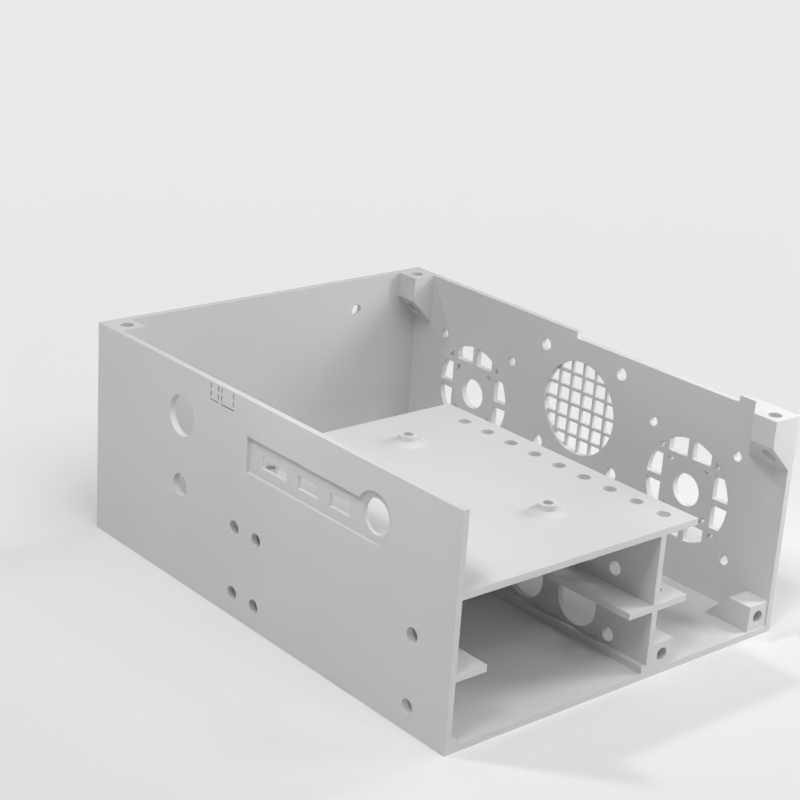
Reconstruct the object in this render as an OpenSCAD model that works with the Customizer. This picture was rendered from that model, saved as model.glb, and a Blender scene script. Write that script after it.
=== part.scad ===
// Open-topped case for a small computer board, two 3.5 inch drives and three
// 60 mm fans, printed in one piece. Millimetres, +Z up. It stands on its floor
// and the origin is the middle of the floor's underside. +X is the open end,
// -X the closed back, -Y the port wall and +Y the fan wall.

/* [Body] */
// Length, from the closed back to the open end
case_l = 250; // [245:1:300]
// Width, from the port wall to the fan wall
case_w = 191.6; // [186:0.2:240]
// Height over all
case_h = 101.8; // [98:0.2:140]
// Thickness of walls, floor, tray, partition and shelves
wall = 3; // [2:0.2:4]
// Length of the low stretch in the top edge of the fan wall
notch_l = 100; // [40:1:110]
// Distance from the open end to the low stretch
notch_end = 30.5; // [24:0.5:40]
// Drop of the low stretch
notch_drop = 3.2; // [1:0.1:5]

/* [Board tray] */
// Length of the tray, the partition and the shelves
tray_l = 155.6; // [148:0.1:165]
// Width of the tray past the partition
tray_over = 18.6; // [14:0.1:24]
// Number of cable holes in a row
cable_holes = 9; // [3:1:10]
// Pitch of the cable holes
cable_pitch = 15.4; // [10:0.1:17]
// Distance from the open end to the first cable hole
cable_end = 10.8; // [6:0.1:14]
// Diameter of the cable holes
cable_hole_d = 6; // [3:0.1:8]

/* [Board standoffs] */
// Hole spacing of the board along the case
board_dx = 88.9; // [70:0.1:95]
// Hole spacing of the board across the case
board_dy = 75.3; // [60:0.1:95]
// Distance from the open end to the board's front holes
board_end = 38.5; // [20:0.1:45]
// Distance from the port wall's inside to the board's near holes
board_inset = 5.2; // [5:0.1:12]
// Height of the standoffs
standoff_h = 4; // [2:0.1:8]
// Diameter of the standoffs
standoff_d = 8.4; // [7:0.1:9.6]
// Diameter of the screw holes in the standoffs
standoff_hole_d = 4.5; // [2:0.1:5]
// Diameter of the flared foot of a standoff
foot_d = 16; // [10:0.1:18]
// Height of the flared foot
foot_h = 1.5; // [0.5:0.1:1.9]

/* [Drive bays] */
// Clear height of the lower bay
lower_bay_h = 27.8; // [27.4:0.1:30]
// Clear height of the upper bay
upper_bay_h = 31.2; // [28:0.1:34]
// Width of the two rails on the floor that centre a drive
rail_w = 2.8; // [2:0.1:5]
// Height of the rails
rail_h = 3.3; // [2:0.1:4]
// Clearance on each side of a drive between the rails
drive_gap = 0.5; // [0.2:0.1:1]
// Width of the shelf on the port wall
shelf_port_w = 15.7; // [8:0.1:25]
// Width of the shelf on the bay side of the partition
shelf_bay_w = 13.9; // [8:0.1:25]
// Set-back of the fan side's shelf from the tray's free edge
shelf_step = 1.4; // [0:0.1:4]
// Distance from the open end to the front drive holes
drive_end = 23; // [21.5:0.1:28]
// Distance from the rear drive holes to the spare holes behind them
drive_spare = 15.6; // [8:0.1:20]
// Height of the drive holes above the floor or the shelf
drive_z = 7.8; // [7.4:0.1:9]
// Diameter of the drive holes
drive_hole_d = 6.4; // [3.2:0.1:6.8]
// Number of round vents beside each bay
vents = 3; // [1:1:3]
// Diameter of the vents
vent_d = 22.8; // [12:0.1:23]
// Pitch of the vents
vent_pitch = 32.4; // [25:0.1:33]
// Distance from the front drive holes to the first vent
vent_x = 19.4; // [17:0.1:21]
// Height of the vents' axes above the floor or the shelf
vent_z = 15.6; // [15:0.1:15.8]

/* [Fan wall] */
// Screw hole pitch of the fans
fan_pitch = 50; // [49.6:0.1:50.4]
// Distance from the closed back to the middle fan's axis
fan_x = 124.8; // [120:0.1:128]
// Distance from the middle fan to each side fan
fan_gap = 72.5; // [65:0.1:74]
// Height of the side fans' axes
fan_z = 49.1; // [41:0.1:49.5]
// Height of the middle fan's axis
mid_fan_z = 64.8; // [58:0.1:66]
// Diameter of the side fans' screw holes
fan_hole_d = 4.7; // [4:0.1:5.4]
// Diameter of the middle fan's screw holes
mid_fan_hole_d = 6.2; // [4:0.1:6.4]
// Diameter of the side grilles
side_d = 49; // [46:0.1:54]
// Shift of the side grilles from the fans' axes towards the closed back
side_dx = 1.4; // [0:0.1:2]
// Shift of the side grilles below the fans' axes
side_dz = 0.5; // [0:0.1:1.5]
// Pitch of the wide bars of a side grille
wide_pitch = 14; // [12.5:0.1:14.5]
// Width of the wide bars
wide_bar = 3; // [2:0.1:4]
// Diameter of the hub of a side grille
hub_d = 30.6; // [27:0.1:36]
// Diameter of the hole in the hub
hub_hole_d = 15.4; // [8:0.1:20]
// Diameter of the middle grille
mid_d = 46.1; // [42:0.1:54]
// Pitch of the fine bars of the middle grille
fine_pitch = 7.7; // [6:0.1:8.4]
// Width of the fine bars
fine_bar = 1.4; // [0.8:0.1:2]
// Depth of the fine bars
fine_depth = 1.5; // [1:0.1:2]

/* [Port wall] */
// Depth of the port recess
recess_depth = 1.5; // [0.5:0.1:1.8]
// Distance from the board's rear holes back to the end of the port recess
recess_back = 5.8; // [4:0.1:8]
// Drop of the recess below the board's underside
recess_drop = 2.4; // [1.6:0.1:3.6]
// Height of the recess
recess_h = 16; // [13:0.1:18]
// Height of the windows
window_h = 5.8; // [4:0.1:8]
// Height of the windows' sills above the board's underside
window_z = 2.1; // [1:0.1:4]
// Width of the first window
wide_window_w = 17; // [14:0.1:19]
// Distance from the board's rear holes to the first window's middle
wide_window_x = 11.4; // [9:0.1:13]
// Width of the second and third window
window_w = 12.8; // [11:0.1:15]
// Distance from the board's rear holes to the second window's middle
second_window_x = 34.2; // [31:0.1:37]
// Distance from the board's rear holes to the third window's middle
third_window_x = 55; // [52:0.1:58]
// Diameter of the round end of the recess
round_recess_d = 21.5; // [17:0.1:24]
// Diameter of the hole in the round end
round_hole_d = 15.2; // [8:0.1:16]
// Distance from the board's rear holes to the round hole's axis
round_x = 77.8; // [75:0.1:82]
// Height of the round hole's axis above the board's underside
round_z = 8.4; // [6:0.1:10]
// Distance from the closed back to the button hole's axis
button_x = 68.4; // [40:0.1:72]
// Height of the button hole's axis
button_z = 78.9; // [72:0.1:84]
// Diameter of the button hole
button_d = 19; // [12:0.1:22]
// Height of the socket hole's axis, under the button
socket_z = 46.3; // [40:0.1:56]
// Diameter of the socket hole
socket_d = 10.5; // [5:0.1:14]

/* [Knock-outs] */
// Distance from the closed back to the narrow knock-out
knock_x = 89.9; // [86:0.1:92]
// Width of the narrow knock-out
knock_narrow = 5.4; // [4:0.1:7]
// Distance between the two knock-outs
knock_gap = 2.3; // [2:0.1:4]
// Width of the wide knock-out
knock_wide = 8.6; // [6:0.1:10]
// Depth of the knock-outs from the top edge
knock_drop = 8.5; // [7.5:0.1:9.5]
// Width of the cuts around a knock-out
knock_cut = 0.9; // [0.6:0.1:1.2]
// Length of the webs left between the cuts
knock_web = 1.1; // [0.6:0.1:1.3]

/* [Screw blocks] */
// Side of a lid post
post = 12.4; // [10:0.1:13]
// Height of a lid post above its sloping underside
post_h = 12.3; // [8:0.1:14]
// Diameter of the screw holes in the lid posts
post_hole_d = 6.1; // [3:0.1:7]
// Reach of the splayed side of the post at the open end
splay = 9.3; // [2:0.1:11]
// Side of a lower end block
end_block = 12.1; // [10.5:0.1:12.6]
// Diameter of the screw holes in the end blocks
end_hole_d = 5.9; // [3:0.1:7]
// Depth of the screw holes in the end blocks
end_hole_l = 10; // [5:0.5:10]
// Set-back of the corner end block from the open end
set_back = 0.5; // [0.2:0.1:1.5]
// Diameter of the hole in the closed back
back_hole_d = 6; // [3:0.1:8]
// Distance from the fan wall's outside to the back hole's axis
back_hole_y = 42.6; // [30:0.1:60]
// Distance from the top edge to the back hole's axis
back_hole_z = 16.2; // [8:0.1:25]

/* [Hidden] */
$fn = 32;
out = 0.5;
lap = 1;
drive_w = 101.6;
drive_pitch = 101.6;

bay_w = drive_w + 2 * (rail_w + drive_gap);
part_y = wall + bay_w;
fan_side_y = part_y + wall;
shelf_z = wall + lower_bay_h;
upper_z = shelf_z + wall;
tray_z = upper_z + upper_bay_h;
tray_top = tray_z + wall;
tray_x = case_l - tray_l;
cable_y = fan_side_y + tray_over / 2;
board_x = case_l - board_end - board_dx;
board_y = wall + board_inset;
board_z = tray_top + standoff_h;
drive_x = case_l - drive_end;
inner_y = case_w - wall;
fan_xs = [fan_x - fan_gap, fan_x + fan_gap];
drive_xs = [drive_x, drive_x - drive_pitch, drive_x - drive_pitch - drive_spare];

// Hole along Y, through a wall of the common thickness whose near face is at y
module y_hole(x, y, z, d) {
    translate([x, y - out, z]) rotate([-90, 0, 0]) cylinder(d = d, h = wall + 2 * out);
}

// Hole along Z from z up
module z_hole(x, y, z, d, h) {
    translate([x, y, z]) cylinder(d = d, h = h);
}

// Cut from the port wall's outside, to a given depth
module port_cut(x, z, w, h, depth) {
    translate([x, -out, z]) cube([w, depth + out, h]);
}

// Floor, closed back and long walls, with the low stretch in the fan wall
module shell() {
    difference() {
        cube([case_l, case_w, case_h]);
        translate([wall, wall, wall]) cube([case_l, case_w - 2 * wall, case_h]);
        translate([case_l - notch_end - notch_l, inner_y - out, case_h - notch_drop])
            cube([notch_l, wall + 2 * out, notch_drop + out]);
    }
}

// Board tray on the partition, the shelves of the upper bay and the floor rails
module bays() {
    translate([tray_x, wall, tray_z]) cube([tray_l, fan_side_y - wall + tray_over, wall]);
    translate([tray_x, part_y, wall]) cube([tray_l, wall, tray_z - wall]);
    translate([tray_x, wall, shelf_z]) cube([tray_l, shelf_port_w, wall]);
    translate([tray_x, part_y - shelf_bay_w, shelf_z])
        cube([tray_l, shelf_bay_w + wall + tray_over - shelf_step, wall]);
    for (y = [wall, part_y - rail_w])
        translate([tray_x, y, wall]) cube([tray_l, rail_w, rail_h]);
}

module standoffs() {
    for (x = [board_x, board_x + board_dx], y = [board_y, board_y + board_dy]) {
        translate([x, y, tray_top]) cylinder(d = standoff_d, h = standoff_h);
        intersection() {
            translate([x, y, tray_top]) cylinder(d1 = foot_d, d2 = standoff_d, h = foot_h);
            translate([tray_x, wall, tray_top]) cube([tray_l, case_w, foot_h]);
        }
    }
}

// Side view of a lid post, its back on the wall at y = 0 and its top at z = 0
module post_side() {
    polygon([[0, 0], [post, 0], [post, -post_h], [0, -post_h - post]]);
}

module lid_posts() {
    translate([wall, wall, case_h]) rotate([90, 0, 90]) linear_extrude(post) post_side();
    translate([wall, inner_y, case_h]) mirror([0, 1, 0])
        rotate([90, 0, 90]) linear_extrude(post) post_side();
    translate([case_l, inner_y, case_h]) mirror([0, 1, 0]) intersection() {
        translate([-post - splay, 0, 0]) rotate([90, 0, 90])
            linear_extrude(post + splay) post_side();
        translate([0, 0, -post_h - post]) linear_extrude(post_h + post)
            polygon([[0, 0], [0, post], [-post, post], [-post - splay, 0]]);
    }
}

// Lower block with a ramp behind it, its end face at x and its side at y
module end_block(x, y) {
    translate([x - 2 * end_block, y + end_block, wall]) rotate([90, 0, 0])
        linear_extrude(end_block)
            polygon([[0, 0], [2 * end_block, 0], [2 * end_block, end_block], [end_block, end_block]]);
}

// Wide bars and a solid hub across each side opening
module side_grilles() {
    for (x = fan_xs) translate([x - side_dx, inner_y, fan_z - side_dz]) {
        for (i = [-1, 0, 1]) {
            translate([i * wide_pitch - wide_bar / 2, 0, -side_d / 2 - lap])
                cube([wide_bar, wall, side_d + 2 * lap]);
            translate([-side_d / 2 - lap, 0, i * wide_pitch - wide_bar / 2])
                cube([side_d + 2 * lap, wall, wide_bar]);
        }
        rotate([-90, 0, 0]) cylinder(d = hub_d, h = wall, $fn = 64);
    }
}

// Fine bars across the middle opening, flush with the wall's outside
module middle_grille() {
    translate([fan_x, case_w - fine_depth, mid_fan_z])
        for (i = [-2 : 2]) {
            translate([i * fine_pitch - fine_bar / 2, 0, -mid_d / 2 - lap])
                cube([fine_bar, fine_depth, mid_d + 2 * lap]);
            translate([-mid_d / 2 - lap, 0, i * fine_pitch - fine_bar / 2])
                cube([mid_d + 2 * lap, fine_depth, fine_bar]);
        }
}

// Screw holes on the corners of a fan's square
module fan_screws(x, z, d) {
    for (i = [-0.5, 0.5], j = [-0.5, 0.5])
        y_hole(x + i * fan_pitch, inner_y, z + j * fan_pitch, d);
}

// Perforation around a tongue that breaks out of the port wall's top edge
module knock_out(x, w) {
    dash = (knock_drop - knock_cut / 2 - 3 * knock_web) / 2;
    low = case_h - knock_drop;
    for (i = [0, 1], j = [0, 1])
        port_cut(x + i * w - knock_cut / 2,
            low + knock_cut / 2 + knock_web + j * (dash + knock_web), knock_cut, dash, wall + out);
    port_cut(x - knock_cut / 2, low - knock_cut / 2, w + knock_cut, knock_cut, wall + out);
}

// Recess along the board's edge with three windows and a round end
module board_ports() {
    round_x0 = board_x + round_x;
    port_cut(board_x - recess_back, board_z - recess_drop, recess_back + round_x, recess_h,
        recess_depth);
    translate([round_x0, -out, board_z + round_z]) rotate([-90, 0, 0])
        cylinder(d = round_recess_d, h = recess_depth + out, $fn = 64);
    y_hole(round_x0, 0, board_z + round_z, round_hole_d, $fn = 64);
    for (p = [[wide_window_x, wide_window_w], [second_window_x, window_w], [third_window_x, window_w]])
        port_cut(board_x + p[0] - p[1] / 2, board_z + window_z, p[1], window_h, wall + out);
}

module chassis() {
    color("gainsboro") translate([-case_l / 2, -case_w / 2, 0]) difference() {
        union() {
            difference() {
                union() {
                    shell();
                    bays();
                    lid_posts();
                    end_block(case_l, fan_side_y);
                    end_block(case_l - set_back, inner_y - end_block);
                }
                for (x = fan_xs)
                    y_hole(x - side_dx, inner_y, fan_z - side_dz, side_d, $fn = 64);
                y_hole(fan_x, inner_y, mid_fan_z, mid_d, $fn = 64);
            }
            side_grilles();
            middle_grille();
            standoffs();
        }
        for (x = fan_xs) {
            y_hole(x - side_dx, inner_y, fan_z - side_dz, hub_hole_d, $fn = 64);
            fan_screws(x, fan_z, fan_hole_d);
        }
        fan_screws(fan_x, mid_fan_z, mid_fan_hole_d);

        board_ports();
        y_hole(button_x, 0, button_z, button_d, $fn = 64);
        y_hole(button_x, 0, socket_z, socket_d);
        knock_out(knock_x, knock_narrow);
        knock_out(knock_x + knock_narrow + knock_gap, knock_wide);
        for (x = drive_xs, z = [wall, upper_z], y = [0, part_y])
            y_hole(x, y, z + drive_z, drive_hole_d);
        for (i = [0 : vents - 1], z = [wall, upper_z])
            y_hole(drive_x - vent_x - i * vent_pitch, part_y, z + vent_z, vent_d, $fn = 64);

        for (i = [0 : cable_holes - 1], z = [shelf_z, tray_z])
            z_hole(case_l - cable_end - i * cable_pitch, cable_y, z - out, cable_hole_d,
                wall + 2 * out);
        for (x = [board_x, board_x + board_dx], y = [board_y, board_y + board_dy])
            z_hole(x, y, tray_z - out, standoff_hole_d, wall + standoff_h + 2 * out);

        for (p = [[wall + post / 2, wall + post / 2], [wall + post / 2, inner_y - post / 2],
                [case_l - post / 2, inner_y - post / 2]])
            z_hole(p[0], p[1], case_h - post_h - post, post_hole_d, post_h + post + out);
        for (p = [[case_l, fan_side_y + end_block / 2], [case_l - set_back, inner_y - end_block / 2]])
            translate([p[0] + out, p[1], wall + end_block / 2]) rotate([0, -90, 0])
                cylinder(d = end_hole_d, h = end_hole_l + out);
        translate([-out, case_w - back_hole_y, case_h - back_hole_z]) rotate([0, 90, 0])
            cylinder(d = back_hole_d, h = wall + 2 * out);
    }
}

chassis();
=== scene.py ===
"""Looks of an open-topped computer case, printed in one piece from light grey plastic.

Units are metres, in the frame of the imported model: the origin is the middle of the floor's
underside, +Z is up, +X is the open end and +Y is the fan wall.
"""

import math

import bmesh
import bpy
from mathutils import Matrix, Vector

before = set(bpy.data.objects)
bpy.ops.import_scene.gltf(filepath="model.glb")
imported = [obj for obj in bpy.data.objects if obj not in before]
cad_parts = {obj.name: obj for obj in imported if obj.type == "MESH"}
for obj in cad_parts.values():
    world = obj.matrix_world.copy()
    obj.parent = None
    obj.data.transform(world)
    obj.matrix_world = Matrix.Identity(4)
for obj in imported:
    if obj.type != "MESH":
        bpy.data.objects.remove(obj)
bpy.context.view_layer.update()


# Camera: it stands over the open end's near corner and looks down at the port wall
PHOTO_WIDTH_PX = 800
FOCAL_PX = 1886.08
SENSOR_MM = 36.0
CAMERA_PLACE = Vector((0.57933, -0.52836, 0.37150))
CAMERA_RIGHT = Vector((0.64022930, 0.76554055, 0.06367179))
CAMERA_AHEAD = Vector((-0.70636267, 0.61925707, -0.34288841))
NEAREST_SEEN = 0.01
FARTHEST_SEEN = 200.0


def add_camera():
    data = bpy.data.cameras.new("camera")
    data.sensor_width = SENSOR_MM
    data.lens = FOCAL_PX / PHOTO_WIDTH_PX * SENSOR_MM
    data.clip_start = NEAREST_SEEN
    data.clip_end = FARTHEST_SEEN
    camera = bpy.data.objects.new("camera", data)
    bpy.context.scene.collection.objects.link(camera)
    up = CAMERA_RIGHT.cross(CAMERA_AHEAD)
    turn = Matrix((CAMERA_RIGHT, up, -CAMERA_AHEAD)).transposed().to_4x4()
    camera.matrix_world = Matrix.Translation(CAMERA_PLACE) @ turn
    bpy.context.scene.camera = camera


add_camera()


# Helpers for materials
def new_material(name):
    """A new material, its node tree and the sockets of its shader."""
    material = bpy.data.materials.new(name)
    material.use_nodes = True
    tree = material.node_tree
    return material, tree, tree.nodes["Principled BSDF"].inputs


def node(tree, kind, label, **inputs):
    """A new node. In the name of an input, an underscore stands for a space."""
    made = tree.nodes.new(kind)
    made.name = made.label = label
    for socket, value in inputs.items():
        made.inputs[socket.replace("_", " ")].default_value = value
    return made


def split(tree, label, vector):
    """The X, Y and Z of a vector, by name."""
    made = node(tree, "ShaderNodeSeparateXYZ", label)
    tree.links.new(vector, made.inputs["Vector"])
    return made.outputs


def maths(tree, label, operation, *values):
    """Arithmetic on values, each a number or the output of another node."""
    made = node(tree, "ShaderNodeMath", label)
    made.operation = operation
    for socket, value in zip(made.inputs, values):
        if isinstance(value, (int, float)):
            socket.default_value = value
        else:
            tree.links.new(value, socket)
    return made.outputs["Value"]


def vector_maths(tree, label, operation, *vectors):
    """A number worked out from vectors, such as a length."""
    made = node(tree, "ShaderNodeVectorMath", label)
    made.operation = operation
    for socket, vector in zip(made.inputs, vectors):
        tree.links.new(vector, socket)
    return made.outputs["Value"]


def remap(tree, label, value, before, after):
    """Takes a value from the range before over to the range after, and keeps it in that."""
    made = node(
        tree, "ShaderNodeMapRange", label,
        From_Min=before[0], From_Max=before[1], To_Min=after[0], To_Max=after[1],
    )
    tree.links.new(value, made.inputs["Value"])
    return made.outputs["Result"]


def noise(tree, label, place, **inputs):
    made = node(tree, "ShaderNodeTexNoise", label, **inputs)
    tree.links.new(place, made.inputs["Vector"])
    return made.outputs["Fac"]


# Floor: pale paper, painted a shade lighter in the distance. This is painted light that brightens
# the far floor, and it grows between two distances from the middle of the case.
FLOOR_HALF = 60.0
PAPER_SHADES_WITH_PAINTED_LIGHT = (0.95, 0.985)
PAINTED_LIGHT_DISTANCES = (0.3, 0.8)
PAPER_ROUGHNESS = 0.9
PAPER_SPECULAR = 0.0

# Sky: an even glow overhead and a brighter one low down, where the pale walls of a studio
# would be. One fades into the other between two heights, as sines of the elevation.
WALL_AND_SKY_GLOW = (0.82, 0.155)
WALL_TOP = (0.0, 0.05)
WHITE = (1, 1, 1, 1)

# Each window: its name, its azimuth from +X towards +Y, elevation and width in degrees, strength
WINDOWS = (
    ("left_window", 220.0, 52.0, 5.0, 0.52),
    ("near_window", 290.0, 54.0, 13.0, 0.75),
    ("end_window", 0.0, 50.0, 38.0, 0.88),
    ("right_window", 60.0, 54.0, 13.0, 0.25),
    ("low_window", 90.0, 15.0, 13.0, 0.90),
)

# Each lamp: its name, place, watts, and whether it lights the case alone, because it would
# leave a pool of light on the floor
LAMPS = (
    ("lamp_past_fan_wall", Vector((0.205, 0.234, 0.200)), 0.385, True),
    ("lamp_above_port_wall", Vector((0.030, -0.186, 0.340)), 0.12, True),
    ("lamp_by_port_wall", Vector((0.030, -0.136, 0.210)), 0.035, True),
    ("lamp_by_fan_wall", Vector((0.125, 0.174, 0.200)), 0.043, False),
)
LAMP_TARGET = Vector((0.0, 0.0, 0.06))
LAMP_SIZE = 0.10


def studio_paper():
    material, tree, shader = new_material("studio_paper")
    shader["Roughness"].default_value = PAPER_ROUGHNESS
    shader["Specular IOR Level"].default_value = PAPER_SPECULAR
    place = node(tree, "ShaderNodeTexCoord", "place on the floor").outputs["Object"]
    away = vector_maths(tree, "way from the middle", "LENGTH", place)
    # Painted light: the paper's tone is paler further from the case, brightening the distant
    # floor
    tone = remap(tree, "paper tone with painted light", away, PAINTED_LIGHT_DISTANCES, PAPER_SHADES_WITH_PAINTED_LIGHT)
    tree.links.new(tone, shader["Base Color"])
    return material


def add_floor():
    sheet = bmesh.new()
    bmesh.ops.create_grid(sheet, x_segments=1, y_segments=1, size=FLOOR_HALF)
    data = bpy.data.meshes.new("studio_floor")
    sheet.to_mesh(data)
    sheet.free()
    data.materials.append(studio_paper())
    floor = bpy.data.objects.new("studio_floor", data)
    bpy.context.scene.collection.objects.link(floor)


def add_sky():
    world = bpy.data.worlds.new("studio")
    world.use_nodes = True
    tree = world.node_tree
    background = tree.nodes["Background"].inputs
    background["Color"].default_value = WHITE
    direction = node(tree, "ShaderNodeTexCoord", "direction in the sky").outputs["Generated"]
    height = split(tree, "height in the sky", direction)["Z"]
    glow = remap(tree, "glow of walls and sky", height, WALL_TOP, WALL_AND_SKY_GLOW)
    tree.links.new(glow, background["Strength"])
    bpy.context.scene.world = world


def place_light(name, data, place, way):
    """A light at place. It shines against way, and the camera doesn't see it."""
    light = bpy.data.objects.new(name, data)
    bpy.context.scene.collection.objects.link(light)
    turn = way.to_track_quat("Z", "Y").to_matrix().to_4x4()
    light.matrix_world = Matrix.Translation(place) @ turn
    light.visible_camera = False
    return light


def add_window(name, azimuth, elevation, width, strength):
    """A distant light. The wider it is, the softer its shadows are."""
    data = bpy.data.lights.new(name, "SUN")
    data.angle = math.radians(width)
    data.energy = strength
    azimuth, elevation = math.radians(azimuth), math.radians(elevation)
    level = math.cos(elevation)
    way = Vector((level * math.cos(azimuth), level * math.sin(azimuth), math.sin(elevation)))
    place_light(name, data, way, way)


def add_lamp(name, place, watts, lit):
    """A small round lamp. It lights the objects in the collection lit, or all if that is None."""
    data = bpy.data.lights.new(name, "AREA")
    data.shape = "DISK"
    data.size = LAMP_SIZE
    data.energy = watts
    lamp = place_light(name, data, place, place - LAMP_TARGET)
    if lit:
        lamp.light_linking.receiver_collection = lit


def add_studio(case):
    add_floor()
    add_sky()
    for window in WINDOWS:
        add_window(*window)
    lit = bpy.data.collections.new("case_alone")
    lit.objects.link(case)
    for name, place, watts, alone in LAMPS:
        add_lamp(name, place, watts, lit if alone else None)
    bpy.context.scene.view_settings.view_transform = "Standard"


# Printed plastic
PLASTIC_GREY = 0.62
PLASTIC_SPECULAR = 0.2
PLASTIC_ROUGHNESS = (0.54, 0.66)

# Lines of the print: how far apart layers and beads are, and how high against the grain
LAYER = 0.00025
BEAD = 0.00045
LINE_SHARE = 0.25

# A face counts as level where its normal reaches further up or down than this
LEVEL_FROM = 0.7

# Relief of the lines and the grain together
RELIEF_DEPTH = 0.00005
RELIEF_STRENGTH = 0.12

# Fine grain and wide mottling, and the range that most of each noise keeps to
GRAIN = {"Scale": 1400.0, "Detail": 3.0, "Roughness": 0.6}
GRAIN_RANGE = (0.2, 0.8)
MOTTLING = {"Scale": 16.0, "Detail": 3.0, "Roughness": 0.5}
MOTTLING_RANGE = (0.3, 0.7)

# Edges: how round they are, and the cosines of the turn where the rubbing starts and is full
EDGE_RADIUS = 0.00025
EDGE_SAMPLES = 6
EDGE_TURN = (0.995, 0.86)

# What each adds to the grey, and the rubbed edges to the roughness
MOTTLING_SHADE = 0.012
GRAIN_SHADE = 0.02
RUBBED_SHADE = 0.03
RUBBED_ROUGHNESS = -0.08


def print_lines(tree, place, facing):
    """Layers on the upright faces, beads at 45 degrees on the level ones."""
    along = split(tree, "along each side", place)
    layers = maths(tree, "layer turns", "MULTIPLY", along["Z"], math.tau / LAYER)
    layers = maths(tree, "layers", "SINE", layers)
    beads = maths(tree, "slant", "ADD", along["X"], along["Y"])
    beads = maths(tree, "bead turns", "MULTIPLY", beads, math.tau / (BEAD * math.sqrt(2)))
    beads = maths(tree, "beads", "SINE", beads)
    level = split(tree, "which way a face looks", facing)["Z"]
    level = maths(tree, "level faces", "ABSOLUTE", level)
    level = maths(tree, "only level faces", "GREATER_THAN", level, LEVEL_FROM)
    lines = node(tree, "ShaderNodeMix", "lines of the print")
    lines.data_type = "FLOAT"
    tree.links.new(level, lines.inputs["Factor"])
    tree.links.new(layers, lines.inputs["A"])
    tree.links.new(beads, lines.inputs["B"])
    return lines.outputs["Result"]


def rounded_edges(tree, facing):
    """The normals of rounded edges, and where these are rubbed, from 0 to 1."""
    rounded = node(tree, "ShaderNodeBevel", "rounded edges", Radius=EDGE_RADIUS)
    rounded.samples = EDGE_SAMPLES
    normals = rounded.outputs["Normal"]
    turned = vector_maths(tree, "turn at an edge", "DOT_PRODUCT", normals, facing)
    return normals, remap(tree, "rubbed edges", turned, EDGE_TURN, (0.0, 1.0))


def relief(tree, height, normals):
    made = node(tree, "ShaderNodeBump", "relief", Strength=RELIEF_STRENGTH, Distance=RELIEF_DEPTH)
    tree.links.new(height, made.inputs["Height"])
    tree.links.new(normals, made.inputs["Normal"])
    return made.outputs["Normal"]


def plastic_tone(tree, mottling, grain, rubbed):
    """A grey that varies a little with the mottling and the grain and is paler at the edges."""
    shades = (PLASTIC_GREY - MOTTLING_SHADE, PLASTIC_GREY + MOTTLING_SHADE)
    tone = remap(tree, "tone of the mottling", mottling, MOTTLING_RANGE, shades)
    tone = maths(tree, "tone with grain", "MULTIPLY_ADD", grain, GRAIN_SHADE, tone)
    tone = maths(tree, "tone with edges", "MULTIPLY_ADD", rubbed, RUBBED_SHADE, tone)
    grey = node(tree, "ShaderNodeCombineColor", "grey")
    for channel in ("Red", "Green", "Blue"):
        tree.links.new(tone, grey.inputs[channel])
    return grey.outputs["Color"]


def printed_plastic():
    material, tree, shader = new_material("printed_plastic")
    shader["Specular IOR Level"].default_value = PLASTIC_SPECULAR
    place = node(tree, "ShaderNodeTexCoord", "place on the case").outputs["Object"]
    facing = node(tree, "ShaderNodeNewGeometry", "faces").outputs["True Normal"]
    grain = noise(tree, "fine grain", place, **GRAIN)
    mottling = noise(tree, "wide mottling", place, **MOTTLING)
    lines = print_lines(tree, place, facing)
    normals, rubbed = rounded_edges(tree, facing)

    height = maths(tree, "height of the lines", "MULTIPLY_ADD", lines, LINE_SHARE, grain)
    rough = remap(tree, "gloss of the grain", grain, GRAIN_RANGE, PLASTIC_ROUGHNESS)
    rough = maths(tree, "gloss with edges", "MULTIPLY_ADD", rubbed, RUBBED_ROUGHNESS, rough)
    tree.links.new(relief(tree, height, normals), shader["Normal"])
    tree.links.new(plastic_tone(tree, mottling, grain, rubbed), shader["Base Color"])
    tree.links.new(rough, shader["Roughness"])
    return material


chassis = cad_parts["chassis"]
chassis.data.materials.clear()
chassis.data.materials.append(printed_plastic())
add_studio(chassis)
